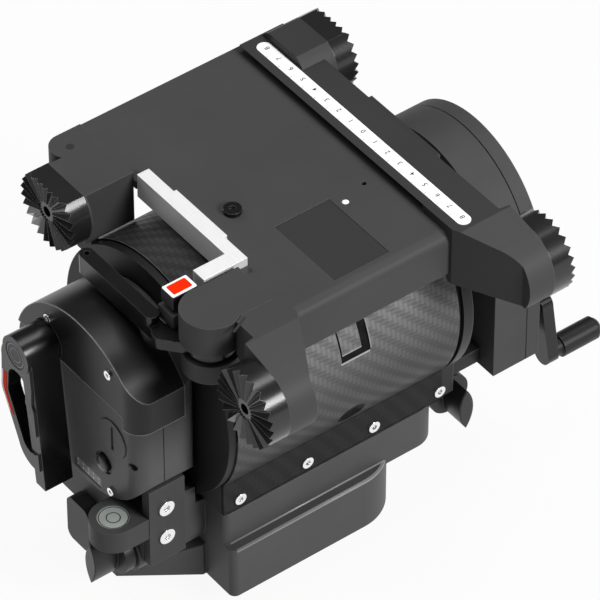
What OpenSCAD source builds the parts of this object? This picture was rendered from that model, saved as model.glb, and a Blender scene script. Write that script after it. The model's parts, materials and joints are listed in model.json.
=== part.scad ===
// Fluid video head with a carbon-covered tilt drum and a rosette platform.
// +X runs along the tilt axis to the crank, +Y points to the lens, +Z is up.
// The origin is the centre of the mounting face, on the pan axis.

/* [Base] */
// Height of the tilt axis above the mounting face
tilt_z = 130; // [128:0.5:150]
// Radius of the round mounting flange
flange_r = 44; // [42:1:50]
// Thickness of the mounting flange
flange_h = 12; // [10:0.5:14]
// Radius of the pan spindle
spindle_r = 16; // [12:0.5:20]
// Radius of the central tapped hole
thread_r = 4; // [3:0.1:6]
// Depth of the central tapped hole
thread_depth = 22; // [12:1:30]
// Radius of the bolt circle in the flange
bolt_circle_r = 36; // [34:0.5:37]
// Radius of the tapped holes on the bolt circle
bolt_r = 3; // [2:0.1:4]
// Number of tapped holes on the bolt circle
bolt_count = 4; // [3:1:8]

/* [Pan housing] */
// Left end of the casting
cast_left = -73; // [-74:0.5:-66]
// Right end of the upper tier
cast_right = 65; // [62:0.5:65.5]
// Half depth of the upper tier
cast_half = 57; // [56:0.5:60]
// Right end of the lower tier
tier_right = 40; // [30:1:55]
// How far the lower tier stands out
tier_step = 6; // [2:0.5:9]
// Height of the lower tier
tier_h = 33; // [26:0.5:38]
// Plan corner radius of the lower tier at its right end
tier_corner = 28; // [15:1:40]
// Radius of the pan bearings
pan_bearing_r = 26; // [23:0.5:32]

/* [Tilt drum] */
// Outer radius of the carbon cover
drum_r = 70; // [66:0.5:70.4]
// Thickness of the carbon cover
cover_t = 2; // [1:0.25:3]
// Left end of the drum
drum_left = -74; // [-74.2:0.2:-70]
// Right end of the carbon cover
drum_right = 66; // [60:0.5:66]
// Radius of the tilt shaft
shaft_r = 9; // [6:0.5:12]
// Radius of the tilt bearings
tilt_bearing_r = 19; // [16:0.5:26]
// Pitch of the cover screws
screw_pitch = 42.6; // [36:0.1:44]

/* [Left housing] */
// Radius of the left housing
left_r = 54; // [50:0.5:56]
// Distance from the tilt axis to the flat rear side
left_flat = 45; // [43:0.5:50]
// Outer face of the left housing
left_face = -118; // [-126:0.5:-114]
// Inner end of the left housing
left_inner = -79.2; // [-86:0.2:-79]
// Length of the end cap
cap_len = 16.5; // [14:0.5:20]
// Wall of the housings
wall = 4; // [2.5:0.25:6]
// Thickness of the hood
hood_t = 1.8; // [1:0.1:3]
// Lower edge of the hood above the tilt axis
hood_edge = 10; // [4:0.5:14]
// Lower lip of the hood's end plate above the tilt axis
hood_lip = 18; // [14:0.5:22]
// Radius of the rear outer edge of the end cap
edge_r = 9; // [5:0.5:10]

/* [Right housing] */
// Inner face of the right housing
right_face = 100; // [99:0.5:104]
// Length of the right housing
right_len = 30; // [26:0.5:40]
// Length of its end cap
right_cap_len = 8.5; // [6:0.5:10]
// Half depth and crown radius of the right housing
right_r = 57; // [52:0.5:60]
// Flat bottom of the right housing below the tilt axis
right_drop = 66; // [64.5:0.5:72]

/* [Platform] */
// Half width of the platform
plat_half = 76; // [72:0.5:78]
// Front edge of the platform
plat_front = 95; // [88:1:105]
// Rear edge of the platform
plat_rear = -82; // [-84:0.5:-78]
// Top of the platform rails above the tilt axis
rail_top = 86; // [85:0.5:92]
// Depth of the camera plate channel
channel_depth = 5; // [3:0.25:6]
// Left side of the channel
channel_left = -52; // [-58:0.5:-46]
// Right side of the channel
channel_right = 48; // [42:0.5:54]
// Underside of the platform above the tilt axis
plat_under = 76; // [74:0.25:78]
// Length of the white rule
rule_len = 171; // [120:1:176]
// Radius of the accessory rosettes
rosette_r = 21.5; // [16:0.5:23]
// Teeth on each rosette
rosette_teeth = 24; // [16:2:36]
// Radius of the tapped hole in each rosette
rosette_hole = 3; // [2:0.1:5]

/* [Controls] */
// Swing of the tilt brake lever, tip to pivot
brake_len = 82; // [70:1:90]
// Length of the crank arm between centres
crank_len = 31; // [20:0.5:36]
// Length of the crank grip
grip_len = 31; // [20:0.5:36]
// Length of the drag knob blades
blade_len = 30; // [22:0.5:34]
// Radius of the bubble vial
vial_r = 8.4; // [6:0.2:9.6]

/* [Fits] */
// Radial clearance of shafts, bearings and screws
fit = 0.05; // [0.02:0.01:0.09]
// Running gap between moving faces
gap = 0.4; // [0.3:0.05:0.6]

/* [Hidden] */
$fn = 72;

black = "#1c1c1e";
graphite = "#39393c";
grey = "#55565a";
silver = "#d6d8da";

// Levels of the pan housing
cast_low = flange_h + gap;
strip_low = 63;
strip_gap = 1.2;
cast_top = tilt_z - strip_low;
tier_top = cast_low + tier_h;
tier_bevel = 3;
bear_h = 10;
cover_top = cast_low + 9.6;
rotor_z = cover_top + 4;
rotor_h = 4;
rotor_r = 30;
chamber_r = rotor_r + 4;
chamber_top = rotor_z + rotor_h + 4;
upper_bear_z = chamber_top + gap;
nut_h = 6;
well_top = upper_bear_z + bear_h + nut_h + 3;

// Drum
cover_in = drum_r - cover_t;
frame_r = cover_in - fit;
strip_join = sqrt(drum_r * drum_r - cast_half * cast_half);
bulkhead_t = 8;
screw_drop = 55;
cover_head = 1.3;
cheek_right = 75;
groove_turn = 70.6;
groove_floor = drum_r - 1;
groove_low = -8.8;
groove_left = -8;
groove_right = 10.2;
groove_w = 5.2;
groove_foot = 3.8;
scoop_x = 2;
scoop_turn = 115;
scoop_r = 12;
scoop_depth = 3.5;

// Left end
body_left = left_face + cap_len;
hood_out = left_r + fit + hood_t;
brake_y = 26.5;
brake_z = 25;
brake_hub_r = 11;
loop_r = 13;
loop_t = 5.5;
post_x = left_face + 16;
post_screws = [-47, -67];
post_t = 6;
post_head = 1.5;
arm_half = 40;
post_y = -arm_half - post_t;
arm_left = left_face + 6;

// Platform
floor_z = rail_top - channel_depth;
notch_rear = -41;
notch_front = 45.5;
rosette_in = 82;
rosette_depth = 12;
block_left = -rosette_in;
rosette_t = 13;
front_y = 61.5;
front_z = 71;
right_front_y = 73;
rear_y = -102.5;
rear_z = 61;
arm_low = 49.5;
arm_top = -88;
arm_crest = -70;
rear_wall_t = 6;
rear_edge_r = 6;
rear_wall_low = 55;
inlay_left = -17.2;
inlay_right = 16.9;
inlay_rear = -73.5;
inlay_front = -25;
deck_screw = [-26.9, -3.4];
deck_holes = [[22.2, -31.5, 2], [37.7, -26.3, 1.4]];
lever_x = -80;
lever_y = -56.5;
lever_pin_r = 4;
lock_r = 15.7;
lever_t = 7;
rail_x = -96.5;
rail_front = 24;
block_low = left_r + 13;
crank_y = -46;
crank_z = -44.6;
crank_x = right_face + right_len;
crank_r = 4;
crank_in = 6.5;
crank_out = 13.5;
grip_pin_r = 3;
knob_y = 14 - arm_half;
knob_z = -84;
knob_r = 5;
collar_r = 12;
pan_brake_y = 8;
pan_brake_z = -92;
tilt_knob_x = 81;
tilt_knob_y = -59;
tilt_knob_z = -77;
battery_y = -24.8;
battery_z = -5.4;
button_y = -16.2;
button_z = -29.1;
button_r = 5;
recess_r = 6.8;
hole_y = -39.7;
hole_z = -14.7;
scale_rear = -13;
scale_front = 9;
scale_low = -50.5;
scale_high = -44;
cap_screw_y = -22.5;
cap_screw_z = -45;
hood_points = [[25.5, 40], [-25.5, 40]];
level_x = left_face - 7;
level_y = -33;
level_top = -50.4;
level_h = 13.4;
block_bottom = drum_r - 16;
rule_x = 57;
rule_w = 8;
bar_left = -51.6;
bar_right = -44.3;
bar_rear = -39;
bar_front = 43;
guide_r = 1.7;
guide_z = (plat_under + floor_z) / 2;

module at_tilt() { translate([0, 0, tilt_z]) children(); }
module along_x(x0, x1) { translate([x0, 0, 0]) rotate([90, 0, 90]) linear_extrude(x1 - x0) children(); }
module along_y(y0, y1) { translate([0, y1, 0]) rotate([90, 0, 0]) linear_extrude(y1 - y0) children(); }
module rod_x(x0, x1, r) { translate([x0, 0, 0]) rotate([0, 90, 0]) cylinder(h = x1 - x0, r = r); }
module rod_y(y0, y1, r) { translate([0, y1, 0]) rotate([90, 0, 0]) cylinder(h = y1 - y0, r = r); }
module rod_z(z0, z1, r) { translate([0, 0, z0]) cylinder(h = z1 - z0, r = r); }
module block(x0, x1, y0, y1, z0, z1) { translate([x0, y0, z0]) cube([x1 - x0, y1 - y0, z1 - z0]); }
module rect(x0, x1, y0, y1) { translate([x0, y0]) square([x1 - x0, y1 - y0]); }

// Rectangle with rounded corners, left pair and right pair set apart
module soft_rect(x0, x1, y0, y1, r, rr) {
  rect(x0 + r, x1 - rr, y0, y1);
  rect(x0, x0 + r, y0 + r, y1 - r);
  rect(x1 - rr, x1, y0 + rr, y1 - rr);
  for (y = [y0 + r, y1 - r]) translate([x0 + r, y]) circle(r);
  for (y = [y0 + rr, y1 - rr]) translate([x1 - rr, y]) circle(rr);
}

// Bar with round ends between two points, its straight sides just inside the rounds
module link(a, b, r) {
  d = b - a;
  side = r * 0.985;
  translate(a) circle(r);
  translate(b) circle(r);
  translate(a) rotate(atan2(d[1], d[0])) translate([0, -side]) square([norm(d), 2 * side]);
}

// Cap screw with a socket, head up, top at zero
module cap_screw(r, h, socket, shank_r, shank) {
  difference() {
    union() {
      rod_z(-h, 0, r);
      rod_z(-h - shank, -h, shank_r);
    }
    translate([0, 0, -h * 0.6]) cylinder(h = h, r = socket, $fn = 6);
  }
}

module base_flange() {
  color(graphite) difference() {
    rod_z(0, flange_h, flange_r);
    rod_z(-1, flange_h + 1, spindle_r + fit);
    for (i = [0 : bolt_count - 1]) rotate(45 + i * 360 / bolt_count)
      translate([bolt_circle_r, 0, 0]) rod_z(-1, flange_h + 1, bolt_r);
  }
}

module pan_spindle() {
  color(silver) difference() {
    union() {
      rod_z(0, well_top - 2, spindle_r);
      rod_z(flange_h, cast_low + gap, spindle_r + 4);
    }
    rod_z(-1, thread_depth, thread_r);
  }
}

module ring_z(z0, z1, ro, ri) {
  difference() {
    rod_z(z0, z1, ro);
    rod_z(z0 - 1, z1 + 1, ri);
  }
}

module ring_x(x0, x1, ro, ri) {
  difference() {
    rod_x(x0, x1, ro);
    rod_x(x0 - 1, x1 + 1, ri);
  }
}

module pan_bearings() {
  color(silver) {
    ring_z(cast_low + gap, cast_low + gap + bear_h, pan_bearing_r, spindle_r + fit);
    ring_z(upper_bear_z, upper_bear_z + bear_h, pan_bearing_r, spindle_r + fit);
  }
}

module pan_drag_rotor() {
  color(silver) {
    ring_z(cast_low + gap + bear_h, rotor_z + rotor_h, spindle_r + 5, spindle_r + fit);
    ring_z(rotor_z, rotor_z + rotor_h, rotor_r, spindle_r + fit);
  }
}

module spindle_nut() {
  color(silver) ring_z(upper_bear_z + bear_h, upper_bear_z + bear_h + nut_h, spindle_r + 6, spindle_r + fit);
}

// Plan of the left arm, which narrows to the brake end
module wing_plan() {
  polygon([[cast_left + 8, -arm_half], [cast_left + 8, arm_half], [cast_left - 2, arm_half],
    [arm_left + 1, 14], [arm_left + 1, -14], [cast_left - 2, -arm_half]]);
}

module pan_housing() {
  color(graphite) difference() {
    union() {
      translate([0, 0, tier_top - tier_bevel]) linear_extrude(cast_top - tier_top + tier_bevel)
        soft_rect(cast_left, cast_right, -cast_half, cast_half, 3, 14);
      translate([0, 0, cast_low]) linear_extrude(tier_h)
        soft_rect(cast_left, tier_right, -cast_half - tier_step, cast_half + tier_step, 4, tier_corner);
      intersection() {
        translate([0, 0, cast_low]) linear_extrude(tier_h + 6) wing_plan();
        along_y(-arm_half, arm_half) polygon([[cast_left + 9, cast_low], [cast_left + 9, cast_low + 27],
          [left_face + 18, cast_low + 9], [arm_left, cast_low + 9], [arm_left, cast_low]]);
      }
      block(arm_left, cast_left + 8, -arm_half, arm_half, cast_top - 22, cast_top);
      block(arm_left, left_inner, -arm_half, arm_half, cast_top - 1, cast_top + 12);
      at_tilt() translate([0, knob_y, knob_z]) rod_x(arm_left - 2, cast_left + 2, 13.5);
      at_tilt() translate([0, pan_brake_y, pan_brake_z]) rod_x(arm_left, cast_left + 2, 11);
    }
    at_tilt() rod_x(left_face - 1, cast_left, left_r + fit);
    at_tilt() rod_x(left_inner, cast_left, drum_r + gap);
    rod_z(cast_low - 1, chamber_top, chamber_r);
    rod_z(chamber_top - 1, well_top, pan_bearing_r + fit);
    at_tilt() translate([0, knob_y, knob_z]) rod_x(left_face - 1, left_face + 24, knob_r + fit);
    at_tilt() translate([0, pan_brake_y, pan_brake_z]) rod_x(left_face - 1, left_face + 24, knob_r + fit);
  }
}

module pan_bottom_cover() {
  color(graphite) ring_z(cast_low, cover_top, chamber_r - fit, pan_bearing_r + fit);
}

// Section of the drum frame below the bulkhead circle
module frame_section(r) {
  difference() {
    union() {
      circle(r);
      rect(-cast_half + cover_t + fit, cast_half - cover_t - fit, -strip_low, -strip_join - 0.5);
    }
    rect(-100, 100, -100, -strip_low);
  }
}

module drum_frame() {
  color(graphite) at_tilt() difference() {
    union() {
      along_x(drum_left, drum_left + bulkhead_t) frame_section(frame_r);
      along_x(drum_right - bulkhead_t, drum_right) frame_section(frame_r);
      block(drum_left, drum_right, -cast_half + cover_t + fit, cast_half - cover_t - fit,
        -strip_low, -strip_low + 6);
    }
    rod_x(drum_left - 1, drum_right + 1, tilt_bearing_r + fit);
  }
}

module cover_section() {
  difference() {
    union() {
      difference() {
        circle(drum_r);
        rect(-drum_r - 1, drum_r + 1, -drum_r - 1, -strip_join);
      }
      for (s = [0, 1]) mirror([s, 0])
        rect(cast_half - cover_t, cast_half, -strip_low + strip_gap, -strip_join + 3);
    }
    circle(cover_in);
  }
}

// Shallow channel in the rear of the cover, open at its top, round a flush tongue
module cover_groove() {
  rotate([groove_turn, 0, 0]) {
    block(groove_left, groove_left + 1, groove_low, 14, groove_floor, drum_r + 2);
    block(groove_right - groove_w, groove_right, groove_low, 14, groove_floor, drum_r + 2);
    block(groove_left, groove_right, groove_low, groove_low + groove_foot, groove_floor, drum_r + 2);
  }
}

// Ball that hollows a thumb recess in the rear of the cover
module scoop(r) {
  rotate([scoop_turn, 0, 0]) translate([scoop_x, 0, drum_r + scoop_r - scoop_depth]) rotate([90, 0, 0]) sphere(r);
}

module drum_cover() {
  color("#2b2b2d") at_tilt() difference() {
    union() {
      along_x(drum_left, drum_right) cover_section();
      intersection() {
        scoop(scoop_r + cover_t);
        rod_x(drum_left, drum_right, cover_in + 0.5);
      }
    }
    for (i = [-1.5 : 1.5]) translate([i * screw_pitch, 0, -screw_drop]) rod_y(-drum_r, drum_r, 2 + fit);
    cover_groove();
    scoop(scoop_r);
  }
}

module cover_screws() {
  color(silver) at_tilt() for (s = [0, 180]) rotate(s) for (i = [-1.5 : 1.5])
    translate([i * screw_pitch, -cast_half - cover_head, -screw_drop]) rotate([90, 0, 0])
      cap_screw(3.4, cover_head, 1.6, 2, cover_t);
}

module tilt_bearings() {
  color(silver) at_tilt() {
    ring_x(drum_left, drum_left + bulkhead_t, tilt_bearing_r, shaft_r + fit);
    ring_x(drum_right - bulkhead_t, drum_right, tilt_bearing_r, shaft_r + fit);
  }
}

module right_cheek() {
  color(grey) at_tilt() difference() {
    union() {
      along_x(drum_right, drum_right + 3) frame_section(drum_r - 3);
      along_x(drum_right + 3, cheek_right) frame_section(drum_r);
      block(drum_right + 3, right_face, -46, 46, -strip_low, -strip_low + 9);
      translate([tilt_knob_x, 0, tilt_knob_z]) rod_y(tilt_knob_y + 20 + gap, -10, collar_r - 1);
      block(tilt_knob_x - 10, tilt_knob_x + 10, tilt_knob_y + 20 + gap, -10, tilt_knob_z, -strip_low + 1);
    }
    rod_x(drum_right - 1, cheek_right + 1, shaft_r + 3);
    translate([tilt_knob_x, 0, tilt_knob_z]) rod_y(-80, -9, knob_r + fit);
  }
}

// End view of the left housing, round with a flat rear side
module left_section(grow) {
  intersection() {
    circle(left_r + grow);
    rect(-left_flat - grow, left_r + grow, -left_r - grow, left_r + grow);
  }
}

// Plan of the left housing, with its rear inner edge rounded
module left_body_plan() {
  rect(body_left - 1, left_inner - edge_r, -left_flat, hood_out + 2);
  rect(body_left - 1, left_inner, -left_flat + edge_r, hood_out + 2);
  translate([left_inner - edge_r, -left_flat + edge_r]) circle(edge_r);
}

module left_housing() {
  color(grey) at_tilt() difference() {
    intersection() {
      rod_x(body_left, left_inner + 1, left_r);
      translate([0, 0, -hood_out - 2]) linear_extrude(2 * hood_out + 4) left_body_plan();
    }
    along_x(body_left - 1, left_inner - wall) left_section(-wall);
    rod_x(left_inner - wall - 1, left_inner + 1, shaft_r + 2);
  }
}

// Plan of the left end, with its rear outer edge rounded
module left_plan(grow) {
  r = edge_r + grow;
  x = left_face - grow;
  y = -left_flat - grow;
  rect(x + r, left_inner + 1, y, hood_out + 2);
  rect(x, left_inner + 1, y + r, hood_out + 2);
  translate([x + r, y + r]) circle(r);
}

// Solid outline of the left end up to a plane across the tilt axis
module left_form(x1, grow) {
  intersection() {
    rod_x(left_face - grow - 1, x1, left_r + grow);
    translate([0, 0, -hood_out - 2]) linear_extrude(2 * hood_out + 4) left_plan(grow);
  }
}

module left_end_cap() {
  color(grey) at_tilt() difference() {
    left_form(body_left, 0);
    left_form(body_left + 1, -wall);
    translate([0, brake_y, brake_z]) rod_x(left_face - 1, left_face + wall + 1, 7 + fit);
    translate([0, battery_y, battery_z]) rod_x(left_face - 1, left_face + 3, 11 + fit);
    translate([0, battery_y, battery_z]) rod_x(left_face, left_face + wall + 1, 10 + fit);
    translate([0, button_y, button_z]) rod_x(left_face - 1, left_face + wall + 1, button_r + fit);
    translate([0, button_y, button_z]) rod_x(left_face - 1, left_face + 1, recess_r);
    translate([0, hole_y, hole_z]) rod_x(left_face - 1, left_face + wall - 0.6, 2.4);
    block(left_face - 1, left_face + 1.5, scale_rear, scale_front, scale_low, scale_high);
    translate([0, cap_screw_y, cap_screw_z]) rod_x(left_face - 1, left_face + wall - 0.6, 1.5 + fit);
  }
}

module left_hood() {
  color(black) at_tilt() difference() {
    intersection() {
      left_form(left_inner - edge_r - 1, hood_t + fit);
      block(left_face - 3, left_inner, -hood_out - 1, hood_out + 1, hood_edge, hood_out + 1);
    }
    left_form(left_inner, fit);
    block(left_face - 3, left_face, -left_flat + edge_r, hood_out + 1, 0, hood_lip);
    translate([0, brake_y, brake_z]) rod_x(left_face - 3, left_face + 1, brake_hub_r + gap);
    for (p = hood_points) translate([0, p[0], p[1]]) rod_x(left_face - 3, left_face, 1.5 + fit);
  }
}

module hood_screws() {
  color(silver) at_tilt() {
    for (p = hood_points) translate([left_face - hood_t - fit - 1.2, p[0], p[1]]) rotate([0, -90, 0])
      cap_screw(2.6, 1.2, 1.2, 1.5, hood_t);
    translate([left_face - 1.2, cap_screw_y, cap_screw_z]) rotate([0, -90, 0])
      cap_screw(2.6, 1.2, 1.2, 1.5, 3);
  }
}

module cheek_post() {
  color(grey) at_tilt() difference() {
    block(left_face + 6, left_face + 28, post_y, post_y + post_t, -84, -32);
    rod_x(left_face, left_face + 40, left_r + fit);
    along_x(left_face, left_face + 40) left_section(fit);
    for (z = post_screws) translate([post_x, 0, z]) rod_y(post_y - 1, post_y + post_t + 1, 3 + fit);
  }
}

module cheek_screws() {
  color(silver) at_tilt() for (z = post_screws) translate([post_x, post_y - post_head, z])
    rotate([90, 0, 0]) cap_screw(4.6, post_head, 2, 3, post_t);
}

module level_bracket() {
  color(graphite) at_tilt() difference() {
    union() {
      translate([level_x, level_y, level_top - level_h]) cylinder(h = level_h, r = 12.6);
      block(level_x, arm_left, level_y - 12.6, level_y + 12.6, level_top - level_h, level_top);
    }
    rod_x(left_face - fit, left_face + 20, left_r + fit);
    along_x(left_face - fit, left_face + 20) left_section(fit);
    translate([level_x, level_y, level_top - 8.4]) cylinder(h = 10, r = vial_r + fit);
  }
}

module level_vial() {
  color("#9aa7a0") at_tilt() translate([level_x, level_y, level_top - 8.4]) rod_z(0, 7.8, vial_r);
}

module scale_plate() {
  color("#8c8e90") at_tilt() block(left_face + 0.3, left_face + 1.5,
    scale_rear + fit, scale_front - fit, scale_low + fit, scale_high - fit);
}

module coin_cell() {
  color(silver) at_tilt() translate([0, battery_y, battery_z]) rod_x(left_face + 3, left_face + 6.2, 10);
}

// End view of the right housing, a half circle on straight sides
module right_section(grow) {
  circle(right_r + grow);
  rect(-right_r - grow, right_r + grow, -right_drop - grow, 0);
}

module right_housing() {
  color(grey) at_tilt() difference() {
    along_x(right_face, crank_x - right_cap_len) right_section(0);
    along_x(right_face + wall, crank_x) right_section(-wall);
    rod_x(right_face - 1, right_face + wall + 1, shaft_r + 2);
  }
}

module right_end_cap() {
  color(grey) at_tilt() difference() {
    along_x(crank_x - right_cap_len, crank_x) right_section(0);
    along_x(crank_x - right_cap_len - 1, crank_x - wall) right_section(-wall);
    translate([0, crank_y, crank_z]) rod_x(crank_x - wall - 1, crank_x + 1, crank_r + fit);
  }
}

module spring_discs() {
  color(silver) at_tilt() ring_x(right_face + wall, crank_x - right_cap_len - 2, 26, shaft_r + 1);
}

// Looped brake lever: hub, straight blade and a bowed thumb rim
// Finger loop behind the front edge of the brake lever's blade
module lever_loop(foot) {
  shoulder = [brake_y + 1, brake_z - 8];
  elbow = [brake_y + 2, brake_z - 30];
  heel = [brake_y - 11, brake_z - 58];
  intersection() {
    difference() {
      union() {
        link(shoulder, elbow, loop_r);
        link(elbow, heel, loop_r);
      }
      link([brake_y + 1, brake_z - 20], elbow, loop_r - loop_t);
      link(elbow, [brake_y - 9, brake_z - 54], loop_r - loop_t);
    }
    polygon([[brake_y - 10, brake_z + 12], [brake_y + 40, brake_z + 12], [brake_y + 40, foot],
      [brake_y - 17, foot], [brake_y - 10, brake_z]]);
  }
}

module tilt_brake_lever() {
  foot = brake_z - brake_len;
  color(black) at_tilt() difference() {
    union() {
      translate([0, brake_y, brake_z]) rod_x(left_face - 22, left_face - gap, brake_hub_r);
      translate([0, brake_y, brake_z]) rod_x(left_face - gap, left_face + 9.7, 7);
      along_x(left_face - 20, left_face - 3) polygon([[brake_y - 11, brake_z], [brake_y - 1, brake_z],
        [brake_y - 11, foot], [brake_y - 19, foot]]);
      along_x(left_face - 21, left_face - 13) lever_loop(foot);
    }
    translate([0, brake_y, brake_z]) rod_x(left_face - 23, left_face - 20.5, 8 + fit);
  }
}

module lever_cap() {
  color(graphite) at_tilt() translate([0, brake_y, brake_z]) rod_x(left_face - 21.8, left_face - 20.5, 8);
}

module brake_pad() {
  color("#7a6a50") at_tilt() translate([0, brake_y, brake_z]) rod_x(left_face + 10, left_face + 17, 9);
}

// Drag knob: a blade with a lens outline on a stub shaft, blade end at zero, shaft to +Z
module drag_knob(shaft) {
  rod_z(14, 14 + shaft, knob_r);
  rod_z(14, 20, collar_r);
  intersection() {
    translate([0, 0, 7]) cube([9, 60, 14], center = true);
    union() {
      for (s = [-1, 1]) linear_extrude(14.1) intersection() {
        translate([s * 18, 0]) circle(18 + 4.5, $fn = 96);
        rect(-4.5, 4.5, -blade_len / 2, blade_len / 2);
        translate([-s * 18, 0]) circle(18 + 4.5, $fn = 96);
      }
    }
  }
}

module pan_brake_lever() {
  color(black) at_tilt() translate([0, pan_brake_y, pan_brake_z]) {
    rod_x(left_face - 3, left_face + 23, knob_r);
    rod_x(left_face - 3, arm_left - gap, knob_r + 1);
    along_x(left_face - 3, left_face + 5) soft_rect(-13, 6, -11, 18, 5, 5);
  }
}

module pan_drag_knob() {
  color(black) at_tilt() translate([left_face - 17, knob_y, knob_z]) rotate([90, 0, 90]) drag_knob(24);
}

module tilt_drag_knob() {
  color(black) at_tilt() translate([tilt_knob_x, tilt_knob_y, tilt_knob_z]) rotate([-90, 0, 0]) drag_knob(24);
}

module battery_cap() {
  color(grey) at_tilt() translate([0, battery_y, battery_z]) difference() {
    rod_x(left_face - 0.6, left_face + 2.6, 11);
    block(left_face - 1, left_face + 0.6, -1, 1, -8, 8);
  }
}

module light_button() {
  color(graphite) at_tilt() translate([0, button_y, button_z]) {
    rod_x(left_face - 1.6, left_face + 5, button_r);
    rod_x(left_face + wall + gap, left_face + 6, button_r + 1.5);
  }
}

module crank_arm() {
  color(black) at_tilt() translate([0, crank_y, crank_z]) {
    rod_x(crank_x - 24, crank_x + crank_in, crank_r);
    along_x(crank_x + crank_in, crank_x + crank_out) link([0, 0], [-6, -crank_len], 6);
  }
}

module crank_pin() {
  color(silver) at_tilt() translate([0, crank_y - 6, crank_z - crank_len])
    rod_x(crank_x + crank_out, crank_x + crank_out + grip_len - 4, grip_pin_r);
}

module crank_grip() {
  color(black) at_tilt() translate([crank_x + crank_out + gap, crank_y - 6, crank_z - crank_len])
    rotate([0, 90, 0]) difference() {
      rotate_extrude() {
        rect(0, 5, 0, 4);
        rect(0, 6.5, 4, grip_len - 4);
        intersection() {
          translate([0, grip_len - 6.5]) circle(6.5);
          rect(0, 7, grip_len - 6.5, grip_len);
        }
      }
      rod_z(-1, grip_len - 4 + gap, grip_pin_r + fit);
    }
}

module counterbalance_nut() {
  color(silver) at_tilt() translate([0, crank_y, crank_z])
    ring_x(crank_x - 14, crank_x - 8, crank_r + 2.5, crank_r + fit);
}

module tilt_shaft() {
  color(silver) at_tilt() rod_x(left_face + wall + 6, crank_x - right_cap_len, shaft_r);
}

// Flat disc on the tilt shaft with lugs that carry the left platform blocks
module left_tilt_disc() {
  color(black) at_tilt() difference() {
    union() {
      rod_x(left_inner + gap, drum_left - gap, drum_r - 1);
      block(left_inner + gap, drum_left - gap, notch_front, 58, 42, block_bottom);
      along_x(left_inner + gap, drum_left - gap) difference() {
        link([-50, 28], [-84, 46], 6);
        rear_arm();
      }
    }
    rod_x(left_inner, drum_left, shaft_r + fit);
  }
}

// Hub on the tilt shaft with an ear up to the platform
module right_tilt_hub() {
  color(grey) at_tilt() difference() {
    union() {
      rod_x(cheek_right + gap, right_face - 1, 38);
      block(cheek_right + gap, 85, -28, 28, 0, plat_under);
      block(60, 85, -28, 28, drum_r + 1, plat_under);
    }
    rod_x(cheek_right, right_face, shaft_r + fit);
  }
}

module brake_disc() {
  color(silver) at_tilt() ring_x(left_face + 18, left_face + 22, left_flat - wall - 1, shaft_r + fit);
}

module tilt_drag_rotor() {
  color(silver) at_tilt() ring_x(-6, 6, 54, shaft_r + fit);
}

// Side view of a rear arm, a round end with a flat underside run into the platform
module rear_arm() {
  rise = [arm_top - rear_y, rail_top - rear_z];
  touch = atan2(rise[1], rise[0]) + acos(rosette_r / norm(rise));
  intersection() {
    translate([rear_y, rear_z]) circle(rosette_r);
    rect(rear_y - 30, rear_y + 30, arm_low, rail_top);
  }
  polygon([[rear_y + (rosette_r - 0.1) * cos(touch), rear_z + (rosette_r - 0.1) * sin(touch)],
    [arm_top, rail_top], [notch_rear - 20, rail_top],
    [notch_rear - 20, plat_under], [-76, 60], [-81, arm_low], [rear_y, arm_low]]);
}

// Plan of a rear arm, whose inner face slants out to the rosette
module arm_plan() {
  polygon([[channel_right, -50], [plat_half, -50], [plat_half, arm_top + 2], [rosette_in, arm_top + 1],
    [rosette_in, -130], [66, -130], [66, -118], [channel_right, plat_rear - 2]]);
}

// Side view of a front hub with a flat top
module front_hub(y, z, top) {
  intersection() {
    translate([y, z]) circle(rosette_r);
    rect(y - 40, y + 40, 0, top);
  }
}

module rail_section() {
  polygon([[channel_right, plat_under], [plat_half, plat_under], [plat_half, rail_top],
    [channel_right, rail_top], [channel_right + channel_depth, floor_z + 1],
    [channel_right + channel_depth, floor_z]]);
}

// Side view of the deck, with a wall down its rear edge
module deck_section() {
  round_y = plat_rear + rear_edge_r;
  round_z = floor_z - rear_edge_r;
  polygon([[plat_rear, rear_wall_low], [plat_rear, round_z], [round_y, round_z], [round_y, floor_z],
    [plat_front, floor_z], [plat_front, plat_under], [plat_rear + rear_wall_t + 4, plat_under],
    [plat_rear + rear_wall_t, plat_under - 4], [plat_rear + rear_wall_t, rear_wall_low]]);
  translate([round_y, round_z]) circle(rear_edge_r);
}

module platform() {
  color(graphite) at_tilt() difference() {
    union() {
      along_x(channel_left, plat_half - 1) deck_section();
      along_y(plat_rear + 4, plat_front - 4) rail_section();
      block(block_left, channel_left, notch_front, 76, block_bottom, rail_top);
      block(-67, channel_left, 75, plat_front - 4, plat_under - 6, rail_top);
      translate([-67, 82, 0]) rod_z(plat_under - 6, rail_top, 9);
      for (s = [0, 1]) mirror([s, 0, 0]) intersection() {
        along_x(44, rosette_in) difference() {
          rear_arm();
          if (s == 1) rect(arm_crest, 0, 0, rail_top + 1);
        }
        linear_extrude(100) arm_plan();
      }
      along_x(rule_x + 5, rosette_in) front_hub(right_front_y, front_z + 2, rail_top + 5);
      along_x(-rosette_in, block_left + 1) front_hub(front_y, front_z, rail_top);
    }
    block(inlay_left, inlay_right, inlay_rear, inlay_front, floor_z - 1, floor_z + 1);
    translate(deck_screw) rod_z(plat_under - 1, floor_z + 1, 2.5 + fit);
    for (h = deck_holes) translate([h[0], h[1], 0]) rod_z(plat_under - 1, floor_z + 1, h[2]);
    for (p = [[-1, front_y, front_z], [1, right_front_y, front_z + 2], [-1, rear_y, rear_z],
      [1, rear_y, rear_z]])
      translate([0, p[1], p[2]]) rotate([0, p[0] * 90, 0])
        rod_z(rosette_in - rosette_depth, rosette_in + 1, rosette_hole + 0.5);
    translate([lever_x, lever_y, 0]) rod_z(block_bottom, rail_top + 1, lock_r + gap);
    block(channel_left - 1, bar_right + gap, bar_rear - gap, bar_front + gap, plat_under - 1, rail_top + 1);
    for (y = [-25, 30]) translate([0, y, guide_z]) rod_x(bar_right, bar_right + 20, guide_r + fit);
  }
}

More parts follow.
